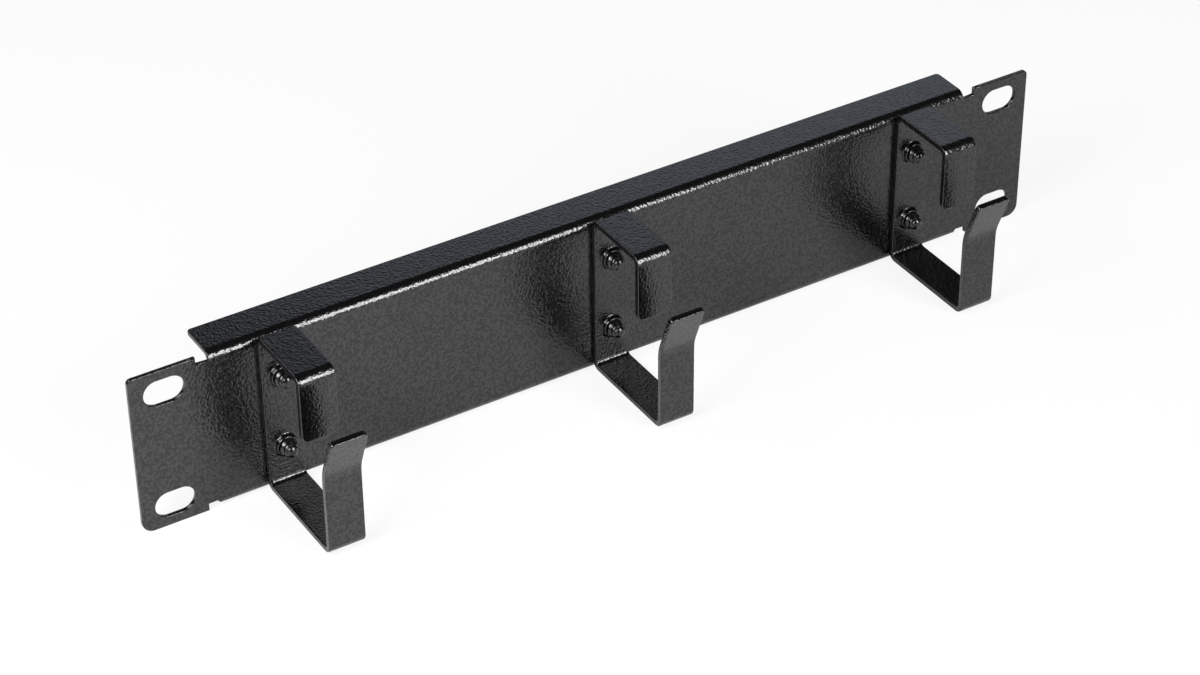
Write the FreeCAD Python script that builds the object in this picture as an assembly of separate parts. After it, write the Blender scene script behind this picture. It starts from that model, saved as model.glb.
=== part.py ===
"""Horizontal cable manager for a half-width (10 inch) rack, one rack unit high.

A folded steel panel screws to the rack rails through the slots in its two
ears. Three open hooks, each folded from one strip, stand on its front and are
held from behind by two screws apiece, which are driven into collars drawn up
out of the strip. Cables are laid in through the mouth of each hook.

Units are millimetres. The origin is the centre of the pattern of mounting
slots, on the rear face of the ears, which seats on the rails. X runs along
the panel, +Y goes back into the rack and +Z is up, so the hooks point to -Y.
"""
import FreeCAD, Part
import math
import os

V = FreeCAD.Vector

# ---------------------------------------------------------------- panel
PANEL_WIDTH = 254.0        # over the ears: the 10 inch rack width
PANEL_HEIGHT = 43.8        # one unit of 44.45 less the gap between units
SHEET = 1.2                # panel sheet
PANEL_BEND_IN = 1.2        # inside radius of the two long folds
FLANGE_DEPTH = 11.4        # front face of the panel to the flange edge
FLANGE_CORNER_R = 1.0      # rounded rear corners of the flanges
EAR_WIDTH = 17.0           # flat ear, outside the relief notches
EAR_TOP_R = 1.2            # outer corners of the ears
EAR_BOTTOM_R = 3.0
RELIEF_WIDTH = 3.2         # notch between each ear and the end of a fold
RELIEF_DEPTH = 1.9

# mounting slots, on the rail pattern of the 10 inch rack
SLOT_INSET = 8.7375        # end of an ear to the middle of its slots
SLOT_PITCH_Z = 31.75
SLOT_LENGTH = 10.3
SLOT_HEIGHT = 6.8

# ---------------------------------------------------------------- hooks
HOOK_NAMES = ("hook_left", "hook_centre", "hook_right")
HOOK_INSET = 37.0          # end of the panel to the middle of an outer hook
HOOK_WIDTH = 9.5
STRIP = 1.5                # hook strip
HOOK_BEND_IN = 1.0         # inside radius of its four square folds
HOOK_TOP = 22.8            # top face of the roof, above the panel's middle
HOOK_BOTTOM = 21.0         # underside, below the panel's middle
ROOF_REACH = 21.1          # panel front face to the front of the flap
FLAP_DROP = 18.0           # top of the roof to the flap's free edge
FLAP_CORNER_R = 2.0
HOOK_REACH = 31.2          # panel front face to the front of the upright
UPRIGHT_TIP = 13.3         # height of the upright's free edge
FLARE_FOOT = 1.6           # height at which the upright starts to lean out
FLARE_ANGLE = 21.0         # degrees from vertical
FLARE_R = 11.0             # radius of the lean's bend, on the front face
TIP_CORNER_R = 1.0

# ---------------------------------------------------------------- screws
SCREW_PITCH = 20.0         # between the two screws of a hook
SCREW_MIDDLE = 0.5         # height of their middle
SCREW_SHANK = 4.2          # diameter, at mid flank of the thread
SCREW_STICKS_OUT = 4.3     # past the front of the hook's back plate
SCREW_TIP_CHAMFER = 0.5
HEAD_DIAMETER = 8.4
HEAD_HEIGHT = 2.8
HEAD_BEVEL = 1.0           # bevelled rim of the pan head
RECESS_SPAN = 4.6          # cross recess: over the wings, at its mouth
RECESS_FLOOR_SPAN = 1.8    # over the wings, at its floor
RECESS_WING = 1.0          # wing width at the mouth
RECESS_FLOOR_WING = 0.7
RECESS_DEPTH = 1.8
PANEL_HOLE_GAP = 0.4       # shank to the side of the panel's hole
COLLAR_GAP = 0.05          # shank to the side of the collar's bore
COLLAR_WALL = 0.5          # at the collar's rim
COLLAR_HEIGHT = 1.2
COLLAR_DRAFT = 0.15        # how much wider its foot is, per side

# ---------------------------------------------------------------- derived
FRONT = -SHEET                                   # panel front face, in Y
PANEL_TOP = PANEL_HEIGHT / 2
FLANGE_REAR = FRONT + FLANGE_DEPTH
CHANNEL_END = PANEL_WIDTH / 2 - EAR_WIDTH - RELIEF_WIDTH
PLATE_FRONT = FRONT - STRIP                      # front of a hook's back plate
COLLAR_RIM = PLATE_FRONT - COLLAR_HEIGHT
SCREW_TIP = PLATE_FRONT - SCREW_STICKS_OUT
BORE_R = SCREW_SHANK / 2 + COLLAR_GAP
PANEL_HOLE_R = SCREW_SHANK / 2 + PANEL_HOLE_GAP
SLOT_PITCH_X = PANEL_WIDTH - 2 * SLOT_INSET
HOOK_PITCH = (PANEL_WIDTH - 2 * HOOK_INSET) / (len(HOOK_NAMES) - 1)
HOOK_X = [(i - (len(HOOK_NAMES) - 1) / 2) * HOOK_PITCH for i in range(len(HOOK_NAMES))]
SCREW_Z = [SCREW_MIDDLE + side * SCREW_PITCH / 2 for side in (1, -1)]


def unit(a, b):
    """Direction from a to b."""
    d = b - a
    return d / d.Length


def left_of(d):
    """The direction d in the YZ plane, turned 90 degrees to its left."""
    return V(0, -d.z, d.y)


def offset_corners(corners, distance):
    """Corners of the parallel path that lies `distance` to the left."""
    dirs = [unit(a, b) for a, b in zip(corners, corners[1:])]
    out = [corners[0] + left_of(dirs[0]) * distance]
    for corner, before, after in zip(corners[1:-1], dirs, dirs[1:]):
        mitre = left_of(before) + left_of(after)
        out.append(corner + mitre * (2 * distance / mitre.Length ** 2))
    out.append(corners[-1] + left_of(dirs[-1]) * distance)
    return out


def rounded_path(corners, radii):
    """Edges of straight runs joined by a tangent arc at each inner corner."""
    edges, start = [], corners[0]
    for before, corner, after, r in zip(corners, corners[1:], corners[2:], radii):
        back, on = unit(corner, before), unit(corner, after)
        half = back.getAngle(on) / 2
        reach = r / math.tan(half)
        middle = unit(V(0, 0, 0), back + on)
        apex = corner + middle * (r / math.sin(half) - r)
        arc_start, arc_end = corner + back * reach, corner + on * reach
        edges.append(Part.LineSegment(start, arc_start).toShape())
        edges.append(Part.Arc(arc_start, apex, arc_end).toShape())
        start = arc_end
    edges.append(Part.LineSegment(start, corners[-1]).toShape())
    return edges


def folded_sheet(corners, inside_radii, thickness, length):
    """Sheet folded along a path in the YZ plane and extruded along X.

    The corners are those of the sheet's right-hand face, seen along the path.
    The sheet lies to its left, and it is centred on X = 0. A fold to the left
    has that face outside; a fold to the right has it inside.
    """
    face_radii, far_radii = [], []
    for a, b, c, r in zip(corners, corners[1:], corners[2:], inside_radii):
        turns_left = left_of(unit(a, b)).dot(unit(b, c)) > 0
        face_radii.append(r + thickness if turns_left else r)
        far_radii.append(r if turns_left else r + thickness)
    far_corners = offset_corners(corners, thickness)
    edges = rounded_path(corners, face_radii) + rounded_path(far_corners, far_radii)
    for near, far in ((corners[0], far_corners[0]), (corners[-1], far_corners[-1])):
        edges.append(Part.LineSegment(near, far).toShape())
    section = Part.Face(Part.Wire(Part.__sortEdges__(edges)))
    section.translate(V(-length / 2, 0, 0))
    return section.extrude(V(length, 0, 0))


def round_corners(shape, radius, direction, is_corner):
    """Fillet the straight edges along `direction` whose middle passes the test."""
    picked = []
    for edge in shape.Edges:
        if edge.Degenerated or not isinstance(edge.Curve, Part.Line):
            continue
        if abs(edge.Curve.Direction.dot(direction)) > 0.999 and is_corner(edge.CenterOfMass):
            picked.append(edge)
    return shape.makeFillet(radius, picked)


def circles(shape, radius, y):
    """Circular edges of the given radius about a line along Y, at the depth y."""
    return [e for e in shape.Edges if not e.Degenerated and isinstance(e.Curve, Part.Circle)
            and abs(e.Curve.Radius - radius) < 1e-6 and abs(e.CenterOfMass.y - y) < 1e-6]


def turned(profile, x, z):
    """Solid turned from (y, radius) points about the Y axis line through (x, z)."""
    wire = Part.makePolygon([V(r, y, 0) for y, r in profile + profile[:1]])
    solid = Part.Face(wire).revolve(V(0, 0, 0), V(0, 1, 0), 360)
    solid.translate(V(x, 0, z))
    return solid


def y_cylinder(radius, y0, y1, x, z):
    """Cylinder along Y from y0 to y1."""
    return Part.makeCylinder(radius, y1 - y0, V(x, y0, z), V(0, 1, 0))


def slot_cutter(x, z):
    """Obround prism along Y, long side along X, through the ear."""
    r, half = SLOT_HEIGHT / 2, (SLOT_LENGTH - SLOT_HEIGHT) / 2
    y0, depth = FRONT - SHEET, 3 * SHEET
    cutter = Part.makeBox(2 * half, depth, 2 * r, V(x - half, y0, z - r))
    for end in (-half, half):
        cutter = cutter.fuse(y_cylinder(r, y0, y0 + depth, x + end, z))
    return cutter.removeSplitter()


def make_ear(side):
    """One flat ear with its relief notches, corners and two slots."""
    reach = PANEL_WIDTH / 2 - CHANNEL_END
    ear = Part.makeBox(reach, SHEET, PANEL_HEIGHT, V(CHANNEL_END, FRONT, -PANEL_TOP))
    for top, radius in ((True, EAR_TOP_R), (False, EAR_BOTTOM_R)):
        ear = round_corners(ear, radius, V(0, 1, 0),
                            lambda c: c.x > PANEL_WIDTH / 2 - SHEET and (c.z > 0) == top)
    for z in (PANEL_TOP - RELIEF_DEPTH, -PANEL_TOP - RELIEF_DEPTH):
        notch = Part.makeBox(RELIEF_WIDTH, 3 * SHEET, 2 * RELIEF_DEPTH,
                             V(CHANNEL_END, FRONT - SHEET, z))
        ear = ear.cut(notch)
    for z in (-SLOT_PITCH_Z / 2, SLOT_PITCH_Z / 2):
        ear = ear.cut(slot_cutter(SLOT_PITCH_X / 2, z))
    return ear if side > 0 else ear.mirror(V(0, 0, 0), V(1, 0, 0))


def make_panel():
    """Panel with both long edges folded back, its two ears and screw holes."""
    corners = [V(0, FLANGE_REAR, PANEL_TOP), V(0, FRONT, PANEL_TOP),
               V(0, FRONT, -PANEL_TOP), V(0, FLANGE_REAR, -PANEL_TOP)]
    panel = folded_sheet(corners, [PANEL_BEND_IN] * 2, SHEET, 2 * CHANNEL_END)
    panel = round_corners(panel, FLANGE_CORNER_R, V(0, 0, 1),
                          lambda c: c.y > FLANGE_REAR - SHEET / 2)
    panel = panel.fuse([make_ear(-1), make_ear(1)]).removeSplitter()
    for x in HOOK_X:
        for z in SCREW_Z:
            panel = panel.cut(y_cylinder(PANEL_HOLE_R, FRONT - SHEET, SHEET, x, z))
    return panel


def make_hook(x):
    """Hook folded from one strip: flap, roof, back plate, floor and upright."""
    lean = math.tan(math.radians(FLARE_ANGLE)) * (UPRIGHT_TIP - FLARE_FOOT)
    corners = [V(0, FRONT - ROOF_REACH, HOOK_TOP - FLAP_DROP),
               V(0, FRONT - ROOF_REACH, HOOK_TOP),
               V(0, FRONT, HOOK_TOP),
               V(0, FRONT, -HOOK_BOTTOM),
               V(0, FRONT - HOOK_REACH, -HOOK_BOTTOM),
               V(0, FRONT - HOOK_REACH, FLARE_FOOT),
               V(0, FRONT - HOOK_REACH - lean, UPRIGHT_TIP)]
    # seen from -X the path runs clockwise, so it is followed from its far end
    corners.reverse()
    radii = [FLARE_R] + [HOOK_BEND_IN] * 4
    hook = folded_sheet(corners, radii, STRIP, HOOK_WIDTH)
    tip_normal = V(0, math.cos(math.radians(FLARE_ANGLE)), math.sin(math.radians(FLARE_ANGLE)))
    hook = round_corners(hook, TIP_CORNER_R, tip_normal,
                         lambda c: c.z > UPRIGHT_TIP - STRIP and c.y < FRONT - HOOK_REACH)
    hook = round_corners(hook, FLAP_CORNER_R, V(0, 1, 0),
                         lambda c: abs(c.z - HOOK_TOP + FLAP_DROP) < STRIP / 2
                         and c.y < FRONT - ROOF_REACH / 2)
    rim_r = BORE_R + COLLAR_WALL
    collar = [(FRONT - STRIP / 2, 0), (FRONT - STRIP / 2, rim_r + COLLAR_DRAFT),
              (PLATE_FRONT, rim_r + COLLAR_DRAFT), (COLLAR_RIM, rim_r), (COLLAR_RIM, 0)]
    for z in SCREW_Z:
        hook = hook.fuse(turned(collar, 0, z))
    for z in SCREW_Z:
        bore = y_cylinder(BORE_R, COLLAR_RIM - SHEET, FRONT + SHEET, 0, z)
        hook = hook.cut(bore)
    hook = hook.removeSplitter()
    hook.translate(V(x, 0, 0))
    return hook


def make_screw(x, z):
    """Pan-head screw from the rear of the panel, with its cross recess."""
    head_r, shank_r = HEAD_DIAMETER / 2, SCREW_SHANK / 2
    body = y_cylinder(shank_r, SCREW_TIP, 0, 0, 0)
    body = body.makeChamfer(SCREW_TIP_CHAMFER, circles(body, shank_r, SCREW_TIP))
    head = y_cylinder(head_r, 0, HEAD_HEIGHT, 0, 0)
    head = head.makeChamfer(HEAD_BEVEL, circles(head, head_r, HEAD_HEIGHT))
    span, floor_span = RECESS_SPAN / 2, RECESS_FLOOR_SPAN / 2
    half_wing, floor_half_wing = RECESS_WING / 2, RECESS_FLOOR_WING / 2
    wing = Part.makeWedge(-floor_span, HEAD_HEIGHT - RECESS_DEPTH, -floor_half_wing,
                          -half_wing, -span, floor_span, HEAD_HEIGHT, floor_half_wing,
                          half_wing, span)
    crossing = wing.copy()
    crossing.rotate(V(0, 0, 0), V(0, 1, 0), 90)
    recess = wing.fuse(crossing)
    screw = head.fuse(body).removeSplitter().cut(recess)
    screw.translate(V(x, 0, z))
    return screw


def main():
    os.makedirs("parts", exist_ok=True)
    nodes = {"panel": make_panel()}
    for name, x in zip(HOOK_NAMES, HOOK_X):
        nodes[name] = make_hook(x)
    nodes["hook_screws"] = Part.makeCompound([make_screw(x, z) for x in HOOK_X for z in SCREW_Z])
    for name, shape in nodes.items():
        shape.exportStep("parts/%s.step" % name)
        box = shape.BoundBox
        print("%-12s %d solid(s) valid %s volume %.1f mm3 X %.2f..%.2f Y %.2f..%.2f Z %.2f..%.2f" % (
            name, len(shape.Solids), shape.isValid(), shape.Volume,
            box.XMin, box.XMax, box.YMin, box.YMax, box.ZMin, box.ZMax))


main()
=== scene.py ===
"""Looks of the horizontal cable manager: folded panel, three hooks and their screws.

The shape functions work in millimetres and end in metres. A folded piece
starts as a flat blank, with x across and s along the strip. It gets its
holes, thickness and rounded edges, and is then folded along s.
"""
import math

import bmesh
import bpy
from mathutils import Matrix, Vector


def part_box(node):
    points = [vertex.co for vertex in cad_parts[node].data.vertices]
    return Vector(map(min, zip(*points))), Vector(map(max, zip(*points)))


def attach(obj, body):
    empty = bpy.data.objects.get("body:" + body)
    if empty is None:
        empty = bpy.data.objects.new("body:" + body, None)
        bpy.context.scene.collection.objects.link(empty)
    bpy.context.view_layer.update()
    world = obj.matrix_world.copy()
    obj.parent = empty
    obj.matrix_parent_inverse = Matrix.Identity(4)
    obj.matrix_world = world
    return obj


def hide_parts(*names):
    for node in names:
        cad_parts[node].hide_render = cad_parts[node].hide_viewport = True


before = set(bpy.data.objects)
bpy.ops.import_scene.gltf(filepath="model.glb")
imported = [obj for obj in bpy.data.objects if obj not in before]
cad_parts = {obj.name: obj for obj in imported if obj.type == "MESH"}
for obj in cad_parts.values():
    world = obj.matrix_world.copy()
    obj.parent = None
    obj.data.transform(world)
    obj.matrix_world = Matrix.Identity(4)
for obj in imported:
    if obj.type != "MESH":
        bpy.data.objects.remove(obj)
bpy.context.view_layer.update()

# ------------------------------------------------------------ sizes, mm
PANEL_WIDTH = 254.0
PANEL_HEIGHT = 43.8
SHEET = 1.2
PANEL_BEND = 2.4           # outside radius of the two long folds
FLANGE_DEPTH = 11.4
FLANGE_CORNER_R = 1.0
EAR_WIDTH = 17.0
EAR_TOP_R = 1.2
EAR_BOTTOM_R = 3.0
RELIEF_WIDTH = 3.2
RELIEF_DEPTH = 1.9
SLOT_X = 118.2625
SLOT_Z = 15.875
SLOT_LENGTH = 10.3
SLOT_HEIGHT = 6.8
SLOT_CELL = (6.2, 4.1)     # half sides of the rectangle of sheet that is cut for a slot
PANEL_HOLE_R = 2.5
HOLE_CELL = (3.6, 3.6)     # the same for a screw's hole
COAT_EDGE = 0.22           # rounding that the coat leaves on a cut edge

HOOKS = {"hook_left": -90.0, "hook_centre": 0.0, "hook_right": 90.0}
HOOK_WIDTH = 9.5
STRIP = 1.5
HOOK_BEND = 2.5            # outside radius of the four square folds
HOOK_TOP = 22.8
HOOK_BOTTOM = 21.0
ROOF_REACH = 21.1
FLAP_DROP = 18.0
FLAP_CORNER_R = 2.0
HOOK_REACH = 31.2
UPRIGHT_TIP = 13.3
FLARE_FOOT = 1.6
FLARE_ANGLE = 21.0
FLARE_R = 11.0
TIP_CORNER_R = 1.0

SCREW_HEIGHTS = (10.5, -9.5)
BORE_R = 2.15
COLLAR_RIM_R = 2.75
COLLAR_FOOT_R = 2.9
COLLAR_HEIGHT = 1.2
COLLAR_ROOT = 0.45         # rounding where a collar rises out of the strip
COLLAR_LIP = 0.27          # rounding of its rim
COLLAR_ENTRY = 0.35        # rounding of its bore at the back
COLLAR_CELL = (3.8, 3.8)   # half sides of the square of strip that is cut for it
THREAD_MAJOR_R = 2.32
THREAD_MINOR_R = 1.86
THREAD_PITCH = 1.5
CREST_ROUND = 0.22         # share of half a pitch that is rounded off at a crest
THREAD_SIDES = 36
FLANK_STEPS = 12           # faces over one pitch
THREAD_INSIDE = 1.0        # length of thread that is hidden in the collar
THREAD_TRIM = 0.2          # part of it that is cut off square
CORE_INSIDE = 0.6          # where the plain core ends, behind the collar's rim
END_R = 0.60               # flat end of a screw, inside its chamfer
CHAMFER_R = 1.70
CHAMFER_HEIGHT = 0.75
CHAMFER_SWELL = 0.85       # 1 is a straight cone, and less swells
CHAMFER_FOOT = 0.8         # share of its height where the thread ends
CHAMFER_RINGS = (0.55, 0.32, 0.15, 0.04)
POINT_TAPER = 0.45         # growth of the point's radius, per mm behind the chamfer
SCREW_STICKS_OUT = 4.3
HEAD_R = 4.2
HEAD_HEIGHT = 2.8
HEAD_FLAT_R = 2.45
HEAD_EDGE = 0.12           # rounding under the head
HEAD_SIDES = 48
RECESS_SPAN = 2.1          # half the span of the cross
RECESS_WING = 0.5          # half the width of a wing
RECESS_DEPTH = 1.7
RECESS_TIP = (0.72, 0.5)   # shares of the depth and of the size at a wing's end
RECESS_MIDDLE = (1.0, 0.75)

# Places: y is 0 on the panel's back and falls towards the front, z is 0 at mid height.
FRONT = -SHEET
PANEL_TOP = PANEL_HEIGHT / 2
CHANNEL_END = PANEL_WIDTH / 2 - EAR_WIDTH - RELIEF_WIDTH
EAR_START = PANEL_WIDTH / 2 - EAR_WIDTH
PLATE_FRONT = FRONT - STRIP
COLLAR_RIM = PLATE_FRONT - COLLAR_HEIGHT
SCREW_TIP = PLATE_FRONT - SCREW_STICKS_OUT

HOLE_SIDES = 44
NEAR = 1e-3                # points closer than this are one
FINE = 1e-4                # slack for points on a line or in a flat
MARGIN = 0.1               # takes in the cut walls at the border of a window
ALL_OF_IT = (-1000, 1000)

# ------------------------------------------------------------ looks
GRAIN_MM = 0.7             # fine grain of the coat
GRAIN_BAND = (0.36, 0.64)  # levels of the noise that are its dullest and its brightest
COAT_IOR = 1.6
TABLE_REACH = 4            # metres
CAMERA_TARGET = (-0.0026, -0.0012, -0.0131)   # metres
CAMERA_DISTANCE = 0.8033
CAMERA_AZIMUTH = -31.42    # degrees
CAMERA_ELEVATION = 35.32
CAMERA_ROLL = -0.58
CAMERA_LENS = 97.78        # mm
CAMERA_SENSOR = 36


# ------------------------------------------------------------ flat blanks
def cut_line(bm, axis, at, across=ALL_OF_IT, along=ALL_OF_IT, level=None):
    """Cuts along x = at or s = at the faces whose middle lies in the window.

    Given a level, it cuts only the flat skin at that height.
    """
    geom = set()
    for face in bm.faces:
        middle = face.calc_center_bounds()
        in_window = across[0] < middle.x < across[1] and along[0] < middle.y < along[1]
        if in_window and (level is None or abs(middle.z - level) < FINE):
            geom.update([face], face.edges, face.verts)
    normal = Vector((1, 0, 0)) if axis == "x" else Vector((0, 1, 0))
    bmesh.ops.bisect_plane(bm, geom=list(geom), dist=FINE, plane_co=normal * at,
                           plane_no=normal)


def drop_faces(bm, is_waste):
    """Removes the faces whose middle passes the test."""
    waste = [f for f in bm.faces if is_waste(f.calc_center_bounds())]
    bmesh.ops.delete(bm, geom=waste, context="FACES")


def sheared_blank(width, length):
    """One flat rectangle, centred on x = 0, with s from 0 to its length."""
    bm = bmesh.new()
    bmesh.ops.create_grid(bm, x_segments=1, y_segments=1, size=0.5)
    bmesh.ops.scale(bm, vec=(width, length, 1), verts=bm.verts[:])
    bmesh.ops.translate(bm, vec=(0, length / 2, 0), verts=bm.verts[:])
    return bm


def round_blank_corners(bm, x, s, radius):
    """Rounds the blank's corners that lie at +x and -x, at one s."""
    corners = [v for v in bm.verts
               if abs(abs(v.co.x) - x) < NEAR and abs(v.co.y - s) < NEAR]
    bmesh.ops.bevel(bm, geom=corners, offset=radius, offset_type="OFFSET", segments=8,
                    profile=0.5, affect="VERTICES", material=-1, clamp_overlap=False)


def surrounds(face, x, s, level):
    """Whether the point lies within the bounds of a face of that skin."""
    xs, ys = [v.co.x for v in face.verts], [v.co.y for v in face.verts]
    return (abs(face.calc_center_bounds().z - level) < FINE
            and min(xs) < x < max(xs) and min(ys) < s < max(ys))


def open_cell(bm, x, s, half_x, half_s, level):
    """Takes a rectangle out of a flat skin and returns its rim, evenly divided."""
    verts = [v.co for f in bm.faces if surrounds(f, x, s, level) for v in f.verts]
    field_x = (min(c.x for c in verts), max(c.x for c in verts))
    field_s = (min(c.y for c in verts), max(c.y for c in verts))
    for at in (x - half_x, x + half_x):
        cut_line(bm, "x", at, field_x, field_s, level)
    for at in (s - half_s, s + half_s):
        cut_line(bm, "s", at, (x - half_x, x + half_x), field_s, level)
    cell = [f for f in bm.faces if surrounds(f, x, s, level)]
    rim = list({e for f in cell for e in f.edges})
    bmesh.ops.delete(bm, geom=cell, context="FACES_ONLY")
    bmesh.ops.subdivide_edges(bm, edges=rim, cuts=HOLE_SIDES // 4 - 1)

    def on_rim(edge):
        middle = (edge.verts[0].co + edge.verts[1].co) / 2 - Vector((x, s, level))
        reach = max(abs(middle.x) / half_x, abs(middle.y) / half_s)
        return edge.is_boundary and abs(middle.z) < FINE and reach < 1 + FINE
    return [e for e in bm.edges if on_rim(e)]


def ring_angle(u, w):
    """Angle on a round hole of the point (u, w) on the rim of its square cell."""
    if abs(u) >= abs(w):
        return math.radians(45 * w if u > 0 else 180 - 45 * w)
    return math.radians(90 - 45 * u if w > 0 else 270 + 45 * u)


def ring_in_cell(bm, x, s, cell, radius, stretch=0.0, level=0.0):
    """Closes a cell down to a round hole, or to a slot that is stretched along x."""
    half_x, half_s = cell
    rim = open_cell(bm, x, s, half_x, half_s, level)
    inner = bmesh.ops.extrude_edge_only(bm, edges=rim)["geom"]
    for v in [g for g in inner if isinstance(g, bmesh.types.BMVert)]:
        dx, ds = v.co.x - x, v.co.y - s
        a = ring_angle(dx / half_x, ds / half_s)
        shift = math.copysign(stretch / 2, dx)
        v.co = (x + radius * math.cos(a) + shift, s + radius * math.sin(a), level)


def thicken_blank(bm, thickness):
    """Gives the blank its thickness and rounds every cut edge as the coat does."""
    skin = bmesh.ops.extrude_face_region(bm, geom=bm.faces[:])
    lifted = [g for g in skin["geom"] if isinstance(g, bmesh.types.BMVert)]
    bmesh.ops.translate(bm, vec=(0, 0, thickness), verts=lifted)
    bmesh.ops.recalc_face_normals(bm, faces=bm.faces[:])
    edges = [e for e in bm.edges if len(e.link_faces) == 2
             and (abs(e.link_faces[0].normal.z) > 0.5) != (abs(e.link_faces[1].normal.z) > 0.5)]
    bmesh.ops.bevel(bm, geom=edges, offset=COAT_EDGE, offset_type="OFFSET", segments=3,
                    profile=0.5, affect="EDGES", material=-1, clamp_overlap=False)


# ------------------------------------------------------------ folding
def fold_stations(runs):
    """(s at its start, length, radius, turn in radians) of every run of a path."""
    stations, s = [], 0.0
    for length, radius, degrees in runs:
        turn = math.radians(degrees)
        length = abs(turn) * radius if degrees else length
        stations.append((s, length, radius, turn))
        s += length
    return stations


def folded_point(stations, start, heading, s, depth):
    """Place in (y, z) of the point at s along the outer face and at a depth behind it."""
    y, z, a = start[0], start[1], math.radians(heading)
    for begin, length, radius, turn in stations:
        last = (begin, length, radius, turn) == stations[-1]
        here = s - begin if last else min(s - begin, length)
        if turn:
            side = 1 if turn > 0 else -1
            cy, cz = y - side * radius * math.sin(a), z + side * radius * math.cos(a)
            a += turn * here / length
            y, z = cy + side * radius * math.sin(a), cz - side * radius * math.cos(a)
        else:
            y, z = y + here * math.cos(a), z + here * math.sin(a)
        if s <= begin + length + 1e-9:
            break
    return y + depth * math.sin(a), z - depth * math.cos(a)


def cut_fold_lines(bm, stations, across=ALL_OF_IT, segments_for_quarter=14):
    """Cuts the blank into narrow strips wherever it is going to be bent."""
    for begin, length, radius, turn in stations:
        if turn:
            count = max(8, round(segments_for_quarter * abs(turn) / (math.pi / 2)))
            for i in range(count + 1):
                cut_line(bm, "s", begin + length * i / count, across)


# ------------------------------------------------------------ finishing
def finished_piece(name, bm, slot, *nodes):
    """Turns a shape in millimetres into a smooth piece that stands for CAD nodes."""
    bmesh.ops.remove_doubles(bm, verts=bm.verts[:], dist=FINE)
    bmesh.ops.recalc_face_normals(bm, faces=bm.faces[:])
    bmesh.ops.transform(bm, matrix=Matrix.Scale(0.001, 4), verts=bm.verts[:])
    for face in bm.faces:
        face.smooth = True
    mesh = bpy.data.meshes.new(name)
    bm.to_mesh(mesh)
    bm.free()
    piece = bpy.data.objects.new(name, mesh)
    bpy.context.scene.collection.objects.link(piece)
    normals = piece.modifiers.new("Even normals", "WEIGHTED_NORMAL")
    normals.mode = "FACE_AREA"
    normals.weight = 50
    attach(piece, "root")
    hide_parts(*nodes)
    return piece


# ------------------------------------------------------------ panel
def make_panel():
    """Panel with both long edges folded back, slotted ears and relief notches."""
    straight = FLANGE_DEPTH - PANEL_BEND
    runs = [(straight, 0, 0), (0, PANEL_BEND, -90), (PANEL_HEIGHT - 2 * PANEL_BEND, 0, 0),
            (0, PANEL_BEND, -90), (straight, 0, 0)]
    stations = fold_stations(runs)
    length = stations[-1][0] + stations[-1][1]
    middle = length / 2
    bm = sheared_blank(PANEL_WIDTH, length)
    for side in (-1, 1):
        cut_line(bm, "x", side * CHANNEL_END)
        cut_line(bm, "x", side * EAR_START)
        for z in (-1, 1):
            notch = sorted((side * CHANNEL_END, side * EAR_START))
            cut_line(bm, "s", middle + z * (PANEL_TOP - RELIEF_DEPTH), notch)
            ear = sorted((side * EAR_START, side * PANEL_WIDTH))
            cut_line(bm, "s", middle + z * PANEL_TOP, ear)
    drop_faces(bm, lambda c: abs(c.x) > EAR_START and abs(c.y - middle) > PANEL_TOP)
    drop_faces(bm, lambda c: CHANNEL_END < abs(c.x) < EAR_START
               and abs(c.y - middle) > PANEL_TOP - RELIEF_DEPTH)
    round_blank_corners(bm, PANEL_WIDTH / 2, middle + PANEL_TOP, EAR_TOP_R)
    round_blank_corners(bm, PANEL_WIDTH / 2, middle - PANEL_TOP, EAR_BOTTOM_R)
    for s in (0, length):
        round_blank_corners(bm, CHANNEL_END, s, FLANGE_CORNER_R)
    for x in (-SLOT_X, SLOT_X):
        for z in (-SLOT_Z, SLOT_Z):
            ring_in_cell(bm, x, middle + z, SLOT_CELL, SLOT_HEIGHT / 2,
                         SLOT_LENGTH - SLOT_HEIGHT)
    for x in HOOKS.values():
        for z in SCREW_HEIGHTS:
            ring_in_cell(bm, x, middle + z, HOLE_CELL, PANEL_HOLE_R)
    bmesh.ops.recalc_face_normals(bm, faces=bm.faces[:])
    thicken_blank(bm, SHEET)
    cut_fold_lines(bm, stations, (-CHANNEL_END - MARGIN, CHANNEL_END + MARGIN))
    start = (FRONT + FLANGE_DEPTH, -PANEL_TOP)
    for v in bm.verts:
        x, s, depth = v.co
        if abs(x) > CHANNEL_END + NEAR:
            v.co = (x, FRONT + depth, s - middle)
        else:
            v.co = (x, *folded_point(stations, start, 180, s, depth))
    return finished_piece("Folded_Panel", bm, "panel_coat", "panel")


# ------------------------------------------------------------ hooks
def arc_points(cx, cy, radius, begin, end, count):
    """Points of an arc in a turned profile, angles in degrees."""
    out = []
    for i in range(count + 1):
        a = math.radians(begin + (end - begin) * i / count)
        out.append((cx + radius * math.cos(a), cy + radius * math.sin(a)))
    return out


def spun_collar(bm, profile, x, s):
    """Turns a profile of (radius, height) points about an axis square to the blank."""
    a = math.radians(45)
    first = [bm.verts.new((x + r * math.cos(a), s + r * math.sin(a), height))
             for r, height in profile]
    chain = [bm.edges.new(pair) for pair in zip(first, first[1:])]
    bmesh.ops.spin(bm, geom=first + chain, cent=(x, s, 0), axis=(0, 0, 1), dvec=(0, 0, 0),
                   angle=2 * math.pi, steps=HOLE_SIDES, use_merge=True)


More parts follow.
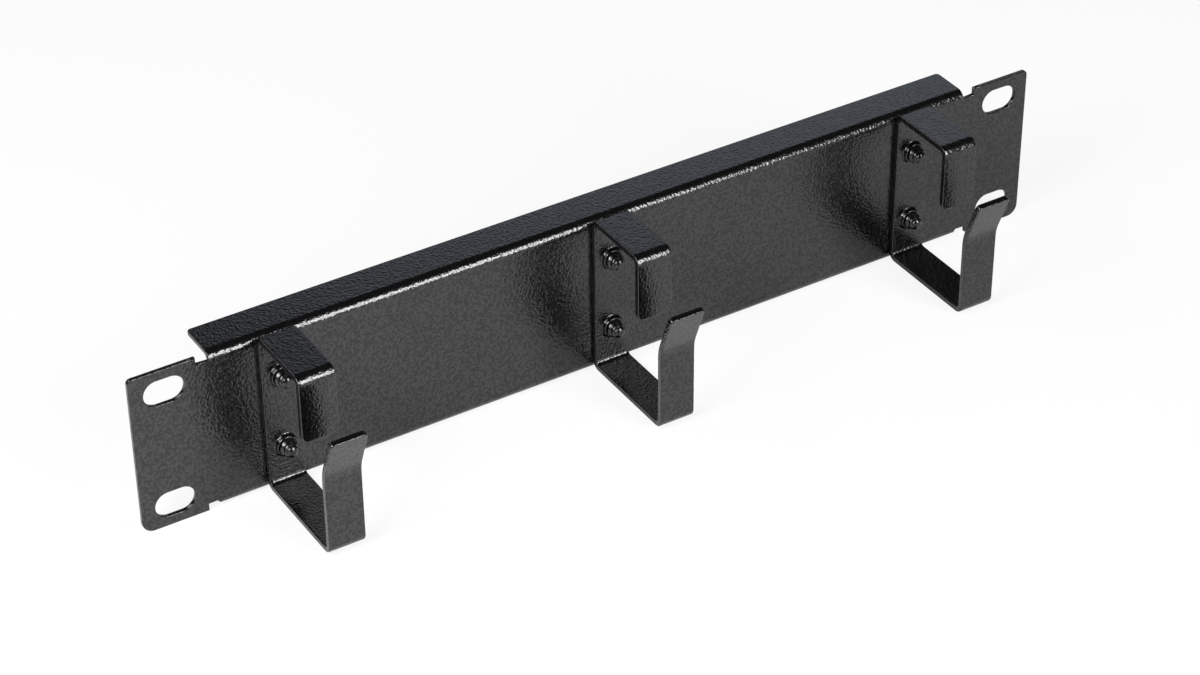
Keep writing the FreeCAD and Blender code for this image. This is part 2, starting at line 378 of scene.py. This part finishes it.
def draw_up_collar(bm, x, s):
    """Collar drawn up out of the strip round a screw's bore, joined to both skins."""
    root, lip, entry = COLLAR_ROOT, COLLAR_LIP, COLLAR_ENTRY
    top = STRIP + COLLAR_HEIGHT
    profile = [(BORE_R + entry, 0.0)]
    profile += arc_points(BORE_R + entry, entry, entry, -90, -180, 5)[1:]
    profile += arc_points(BORE_R + lip, top - lip, lip, 180, 90, 4)
    profile += arc_points(COLLAR_RIM_R - lip, top - lip, lip, 90, 0, 4)[1:]
    profile += arc_points(COLLAR_FOOT_R + root, STRIP + root, root, 180, 270, 6)
    for level, radius in ((0.0, BORE_R + entry), (STRIP, COLLAR_FOOT_R + root)):
        ring_in_cell(bm, x, s, COLLAR_CELL, radius, level=level)
    spun_collar(bm, profile, x, s)
    bmesh.ops.remove_doubles(bm, verts=bm.verts[:], dist=NEAR)


def make_hook(name, x):
    """Hook folded from one strip: flap, roof, back plate, floor and flared upright."""
    flare = math.radians(FLARE_ANGLE)
    flare_set = FLARE_R * math.tan(flare / 2)
    fold = (0, HOOK_BEND, -90)
    runs = [(FLAP_DROP - HOOK_BEND, 0, 0), fold,
            (ROOF_REACH - 2 * HOOK_BEND, 0, 0), fold,
            (HOOK_TOP + HOOK_BOTTOM - 2 * HOOK_BEND, 0, 0), fold,
            (HOOK_REACH - 2 * HOOK_BEND, 0, 0), fold,
            (FLARE_FOOT + HOOK_BOTTOM - HOOK_BEND - flare_set, 0, 0), (0, FLARE_R, FLARE_ANGLE),
            ((UPRIGHT_TIP - FLARE_FOOT) / math.cos(flare) - flare_set, 0, 0)]
    stations = fold_stations(runs)
    length = stations[-1][0] + stations[-1][1]
    bm = sheared_blank(HOOK_WIDTH, length)
    round_blank_corners(bm, HOOK_WIDTH / 2, 0, FLAP_CORNER_R)
    round_blank_corners(bm, HOOK_WIDTH / 2, length, TIP_CORNER_R)
    thicken_blank(bm, STRIP)
    plate_top = stations[4][0]
    for z in SCREW_HEIGHTS:
        draw_up_collar(bm, 0, plate_top + (HOOK_TOP - HOOK_BEND) - z)
    cut_fold_lines(bm, stations)
    start = (FRONT - ROOF_REACH, HOOK_TOP - FLAP_DROP)
    for v in bm.verts:
        across, s, depth = v.co
        v.co = (x + across, *folded_point(stations, start, 90, s, depth))
    return finished_piece(name.title(), bm, "hook_coat", name)


# ------------------------------------------------------------ screws
def new_verts(bm, old):
    """The vertices that came since the old ones were noted."""
    return [v for v in bm.verts if v not in old]


def thread_height(t):
    """Height of the thread over one pitch, 0 at its root and 1 at its rounded crest."""
    def flank(u):
        return math.sqrt(u * u + CREST_ROUND * CREST_ROUND)
    return (flank(1) - flank(2 * t - 1)) / (flank(1) - flank(0))


def point_limit(depth):
    """Radius that the chamfered, tapering point allows at a depth behind its flat end."""
    if depth < CHAMFER_HEIGHT:
        return END_R + (CHAMFER_R - END_R) * (depth / CHAMFER_HEIGHT) ** CHAMFER_SWELL
    return CHAMFER_R + (depth - CHAMFER_HEIGHT) * POINT_TAPER


def trim_screw(bm, verts, at, outward):
    """Cuts away what lies beyond a plane square to the screw."""
    geom = set(verts)
    for v in verts:
        geom.update(v.link_edges)
        geom.update(v.link_faces)
    bmesh.ops.bisect_plane(bm, geom=list(geom), dist=1e-5, plane_co=(0, at, 0),
                           plane_no=(0, outward, 0), clear_outer=True)


def make_thread(bm, x, z):
    """Coarse thread from inside the collar to the screw's tapering, chamfered point."""
    begin = COLLAR_RIM + THREAD_INSIDE
    turns = math.ceil((begin - SCREW_TIP) / THREAD_PITCH) + 2
    depth = THREAD_MAJOR_R - THREAD_MINOR_R
    old = set(bm.verts)
    first = []
    for i in range(FLANK_STEPS + 1):
        t = i / FLANK_STEPS
        radius = THREAD_MINOR_R + depth * thread_height(t)
        first.append(bm.verts.new((x + radius, begin + THREAD_PITCH * (1 - t), z)))
    chain = [bm.edges.new(pair) for pair in zip(first, first[1:])]
    bmesh.ops.spin(bm, geom=first + chain, cent=(x, 0, z), axis=(0, -1, 0),
                   dvec=(0, -THREAD_PITCH / THREAD_SIDES, 0), angle=2 * math.pi * turns,
                   steps=THREAD_SIDES * turns, use_merge=False)
    bmesh.ops.remove_doubles(bm, verts=new_verts(bm, old), dist=NEAR)
    foot = SCREW_TIP + CHAMFER_FOOT * CHAMFER_HEIGHT
    trim_screw(bm, new_verts(bm, old), begin - THREAD_TRIM, 1)
    trim_screw(bm, new_verts(bm, old), foot, -1)
    for v in new_verts(bm, old):
        out = Vector((v.co.x - x, 0, v.co.z - z))
        limit = point_limit(v.co.y - SCREW_TIP)
        at_foot = v.co.y < foot + NEAR
        out *= limit / out.length if at_foot else min(1.0, limit / THREAD_MAJOR_R)
        v.co = (x + out.x, v.co.y, z + out.z)
    close_thread(bm, x, z, foot, old)


def close_thread(bm, x, z, foot, old):
    """Closes the thread's inner end, and draws its outer rim in to the flat end."""
    ends = [e for e in bm.edges if e.is_boundary and e.verts[0] not in old]
    inner = [e for e in ends if e.verts[0].co.y > foot + 1]
    bmesh.ops.holes_fill(bm, edges=inner, sides=0)
    rim = [e for e in ends if e.verts[0].co.y < foot + 1]
    for share in CHAMFER_RINGS:
        depth = share * CHAMFER_HEIGHT
        made = bmesh.ops.extrude_edge_only(bm, edges=rim)["geom"]
        rim = [g for g in made if isinstance(g, bmesh.types.BMEdge)]
        for v in (g for g in made if isinstance(g, bmesh.types.BMVert)):
            out = Vector((v.co.x - x, 0, v.co.z - z)).normalized() * point_limit(depth)
            v.co = (x + out.x, SCREW_TIP + depth, z + out.z)
    bmesh.ops.holes_fill(bm, edges=rim, sides=0)


def make_screw_body(bm, x, z):
    """Pan head with its cross recess, and the plain core as far as into the collar."""
    shoulder = HEAD_R - HEAD_FLAT_R
    core_end = COLLAR_RIM + CORE_INSIDE
    profile = arc_points(HEAD_R - shoulder, HEAD_HEIGHT - shoulder, shoulder, 90, 0, 8)
    profile += [(HEAD_R, HEAD_EDGE), (HEAD_R - HEAD_EDGE, 0.0), (THREAD_MINOR_R, 0.0),
                (THREAD_MINOR_R, core_end), (0.0, core_end)]
    old = set(bm.verts)
    first = [bm.verts.new((x + r, y, z)) for r, y in profile]
    chain = [bm.edges.new(pair) for pair in zip(first, first[1:])]
    bmesh.ops.spin(bm, geom=first + chain, cent=(x, 0, z), axis=(0, 1, 0), dvec=(0, 0, 0),
                   angle=2 * math.pi, steps=HEAD_SIDES, use_merge=True)
    bmesh.ops.remove_doubles(bm, verts=new_verts(bm, old), dist=NEAR)
    cross_recess(bm, x, z)
    bmesh.ops.remove_doubles(bm, verts=new_verts(bm, old), dist=NEAR)


def recess_mouth(bm, middle):
    """The open edges of the recess that lie in the flat of the head, inside its ring."""
    def at_mouth(v):
        return abs(v.co.y - HEAD_HEIGHT) < FINE and (v.co - middle).length < HEAD_FLAT_R - MARGIN
    return [e for e in bm.edges if e.is_boundary and all(at_mouth(v) for v in e.verts)]


def cross_recess(bm, x, z):
    """Tapered cross sunk into the flat middle of the head, joined to its ring."""
    middle = Vector((x, HEAD_HEIGHT, z))
    old = set(bm.verts)
    bmesh.ops.create_grid(bm, x_segments=3, y_segments=3, size=1.5)
    made = new_verts(bm, old)
    place = {-1.5: -RECESS_SPAN, -0.5: -RECESS_WING, 0.5: RECESS_WING, 1.5: RECESS_SPAN}
    for v in made:
        v.co = (x + place[round(v.co.x, 1)], HEAD_HEIGHT, z + place[round(v.co.y, 1)])
    faces = list({f for v in made for f in v.link_faces})
    corners = []
    for face in faces:
        off = face.calc_center_median() - middle
        if min(abs(off.x), abs(off.z)) > RECESS_WING:
            corners.append(face)
    bmesh.ops.delete(bm, geom=corners, context="FACES")
    faces = [f for f in faces if f.is_valid]
    sunk = bmesh.ops.extrude_face_region(bm, geom=faces)["geom"]
    bmesh.ops.delete(bm, geom=[f for f in faces if f.is_valid], context="FACES_ONLY")
    for v in [g for g in sunk if isinstance(g, bmesh.types.BMVert)]:
        across = Vector((v.co.x - x, 0, v.co.z - z))
        deep, wide = RECESS_TIP if across.length > 2 * RECESS_WING else RECESS_MIDDLE
        v.co = Vector((x, HEAD_HEIGHT - RECESS_DEPTH * deep, z)) + across * wide
    bmesh.ops.subdivide_edges(bm, edges=recess_mouth(bm, middle), cuts=3)
    made = bmesh.ops.extrude_edge_only(bm, edges=recess_mouth(bm, middle))["geom"]
    spread = [g for g in made if isinstance(g, bmesh.types.BMVert)]
    # The small turn keeps the point that lies at angle 0 first in its row.
    spread.sort(key=lambda v: (math.atan2(v.co.z - z, v.co.x - x) + 0.01) % (2 * math.pi))
    for i, v in enumerate(spread):
        a = 2 * math.pi * i / len(spread)
        v.co = middle + Vector((math.cos(a), 0, math.sin(a))) * HEAD_FLAT_R
    bmesh.ops.delete(bm, geom=[e for e in bm.edges if not e.link_faces], context="EDGES")


def make_screws():
    """Six screws in one piece: each is a head with its core, and a threaded end."""
    bm = bmesh.new()
    for x in HOOKS.values():
        for z in SCREW_HEIGHTS:
            make_screw_body(bm, x, z)
            make_thread(bm, x, z)
    return finished_piece("Hook_Screws", bm, "screw_black", "hook_screws")


# ------------------------------------------------------------ materials
def powder_coat(name, colour, roughness, peel_mm, peel_depth, grain):
    """Glossy coat: orange-peel relief of a size and depth in mm, and a grain in its shine."""
    material = bpy.data.materials.new(name)
    material.use_nodes = True
    nodes, links = material.node_tree.nodes, material.node_tree.links
    shader = nodes["Principled BSDF"]
    shader.inputs["Base Color"].default_value = (*colour, 1)
    shader.inputs["Roughness"].default_value = roughness
    shader.inputs["IOR"].default_value = COAT_IOR
    place = nodes.new("ShaderNodeTexCoord")
    peel = nodes.new("ShaderNodeTexNoise")
    peel.inputs["Scale"].default_value = 1000 / peel_mm
    peel.inputs["Detail"].default_value = 1.0
    links.new(place.outputs["Object"], peel.inputs["Vector"])
    relief = nodes.new("ShaderNodeBump")
    relief.inputs["Strength"].default_value = 1.0
    relief.inputs["Distance"].default_value = peel_depth / 1000
    links.new(peel.outputs["Fac"], relief.inputs["Height"])
    links.new(relief.outputs["Normal"], shader.inputs["Normal"])
    sand = nodes.new("ShaderNodeTexNoise")
    sand.inputs["Scale"].default_value = 1000 / GRAIN_MM
    sand.inputs["Detail"].default_value = 0.0
    links.new(place.outputs["Object"], sand.inputs["Vector"])
    shine = nodes.new("ShaderNodeValToRGB")
    dull, bright = 1 - grain, 1 + grain
    for stop, level, tint in zip(shine.color_ramp.elements, GRAIN_BAND, (dull, bright)):
        stop.position = level
        stop.color = (tint, tint, tint, 1)
    links.new(sand.outputs["Fac"], shine.inputs["Fac"])
    links.new(shine.outputs["Color"], shader.inputs["Specular Tint"])
    return material


def share_of_view(nodes, links, seen, mirrored):
    """Share of plain white that a ray meets: as seen straight or through glass, or mirrored."""
    path = nodes.new("ShaderNodeLightPath")
    rays = (("Is Camera Ray", seen), ("Is Glossy Ray", mirrored), ("Is Transmission Ray", seen))
    total = None
    for ray, part in rays:
        share = nodes.new("ShaderNodeMath")
        share.operation = "MULTIPLY"
        share.inputs[1].default_value = part
        links.new(path.outputs[ray], share.inputs[0])
        if total:
            both = nodes.new("ShaderNodeMath")
            both.operation = "MAXIMUM"
            links.new(total.outputs[0], both.inputs[0])
            links.new(share.outputs[0], both.inputs[1])
            total = both
        else:
            total = share
    return total.outputs[0]


def studio_white(name, colour, seen, mirrored):
    """Matt white that the camera sees mostly as plain white, and gloss mostly as lit."""
    material = bpy.data.materials.new(name)
    material.use_nodes = True
    nodes, links = material.node_tree.nodes, material.node_tree.links
    nodes.clear()
    out = nodes.new("ShaderNodeOutputMaterial")
    matt = nodes.new("ShaderNodeBsdfDiffuse")
    matt.inputs["Color"].default_value = (*colour, 1)
    glow = nodes.new("ShaderNodeEmission")
    glow.inputs["Color"].default_value = (1, 1, 1, 1)
    glow.inputs["Strength"].default_value = 1.0
    mix = nodes.new("ShaderNodeMixShader")
    links.new(share_of_view(nodes, links, seen, mirrored), mix.inputs["Fac"])
    links.new(matt.outputs[0], mix.inputs[1])
    links.new(glow.outputs[0], mix.inputs[2])
    links.new(mix.outputs[0], out.inputs["Surface"])
    return material


# ------------------------------------------------------------ studio
def make_sky(strength, seen, mirrored):
    """Dim, even sky that lights the part, and a white backdrop that the camera sees."""
    world = bpy.data.worlds.new("Soft_Sky")
    bpy.context.scene.world = world
    world.use_nodes = True
    nodes, links = world.node_tree.nodes, world.node_tree.links
    sky = nodes["Background"]
    sky.inputs["Color"].default_value = (0.90, 0.94, 1.0, 1)
    sky.inputs["Strength"].default_value = strength
    backdrop = nodes.new("ShaderNodeBackground")
    backdrop.inputs["Color"].default_value = (1, 1, 1, 1)
    backdrop.inputs["Strength"].default_value = 1.0
    mix = nodes.new("ShaderNodeMixShader")
    links.new(share_of_view(nodes, links, seen, mirrored), mix.inputs["Fac"])
    links.new(sky.outputs[0], mix.inputs[1])
    links.new(backdrop.outputs[0], mix.inputs[2])
    links.new(mix.outputs[0], nodes["World Output"].inputs["Surface"])


def make_studio():
    """White table under the part, a soft sky and four soft lamps."""
    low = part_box("panel")[0].z
    bm = bmesh.new()
    bmesh.ops.create_grid(bm, x_segments=1, y_segments=1, size=TABLE_REACH)
    bmesh.ops.translate(bm, vec=(0, 0, low), verts=bm.verts[:])
    mesh = bpy.data.meshes.new("Table")
    bm.to_mesh(mesh)
    bm.free()
    table = bpy.data.objects.new("Table", mesh)
    bpy.context.scene.collection.objects.link(table)
    mesh.materials.append(studio_white("Table_White", (0.9, 0.9, 0.9), 0.85, 0.08))
    make_sky(0.03, 0.95, 0.02)
    soft_box("Key", (0.30, -0.86, 0.42), 1.1, (0.40, 0.60), 12.5)
    soft_box("Fill", (-0.75, -0.25, 0.61), 0.55, (0.24, 0.24), 3.0)
    soft_box("Back", (0.60, 0.66, 0.46), 1.2, (1.0, 0.5), 1.15, (0.80, 0.88, 1.0))
    soft_box("Rear", (-0.50, 0.60, 0.62), 1.1, (0.6, 0.6), 2.5)


def soft_box(name, toward, distance, size, power, colour=(1, 1, 1)):
    """Rectangular lamp, in metres and watts, that faces the part from one direction."""
    toward = Vector(toward).normalized()
    light = bpy.data.lights.new(name, "AREA")
    light.shape = "RECTANGLE"
    light.size, light.size_y = size
    light.energy = power
    light.color = colour
    lamp = bpy.data.objects.new(name, light)
    turn = toward.to_track_quat("Z", "Y").to_matrix().to_4x4()
    lamp.matrix_world = Matrix.Translation(toward * distance) @ turn
    bpy.context.scene.collection.objects.link(lamp)


def make_camera():
    """Camera a little above and to the left of the part, looking down on it."""
    a, e = math.radians(CAMERA_AZIMUTH), math.radians(CAMERA_ELEVATION)
    back = Vector((math.sin(a) * math.cos(e), -math.cos(a) * math.cos(e), math.sin(e)))
    camera = bpy.data.objects.new("Camera", bpy.data.cameras.new("Camera"))
    camera.data.sensor_width = CAMERA_SENSOR
    camera.data.lens = CAMERA_LENS
    camera.data.clip_start = 0.01
    roll = Matrix.Rotation(math.radians(CAMERA_ROLL), 4, "Z")
    turn = back.to_track_quat("Z", "Y").to_matrix().to_4x4() @ roll
    place = Vector(CAMERA_TARGET) + back * CAMERA_DISTANCE
    camera.matrix_world = Matrix.Translation(place) @ turn
    bpy.context.scene.collection.objects.link(camera)
    bpy.context.scene.camera = camera


coat = powder_coat("Black_Powder_Coat", (0.0015, 0.0015, 0.0015), 0.20, 0.7, 0.10, 0.21)
screw_finish = powder_coat("Black_Screw_Finish", (0.002, 0.002, 0.002), 0.25, 1.3, 0.05, 0.0)

panel = make_panel()
panel.data.materials.append(coat)
for hook_name, hook_x in HOOKS.items():
    hook = make_hook(hook_name, hook_x)
    hook.data.materials.append(coat)
screws = make_screws()
screws.data.materials.append(screw_finish)

make_studio()
make_camera()
bpy.context.scene.view_settings.view_transform = "Standard"
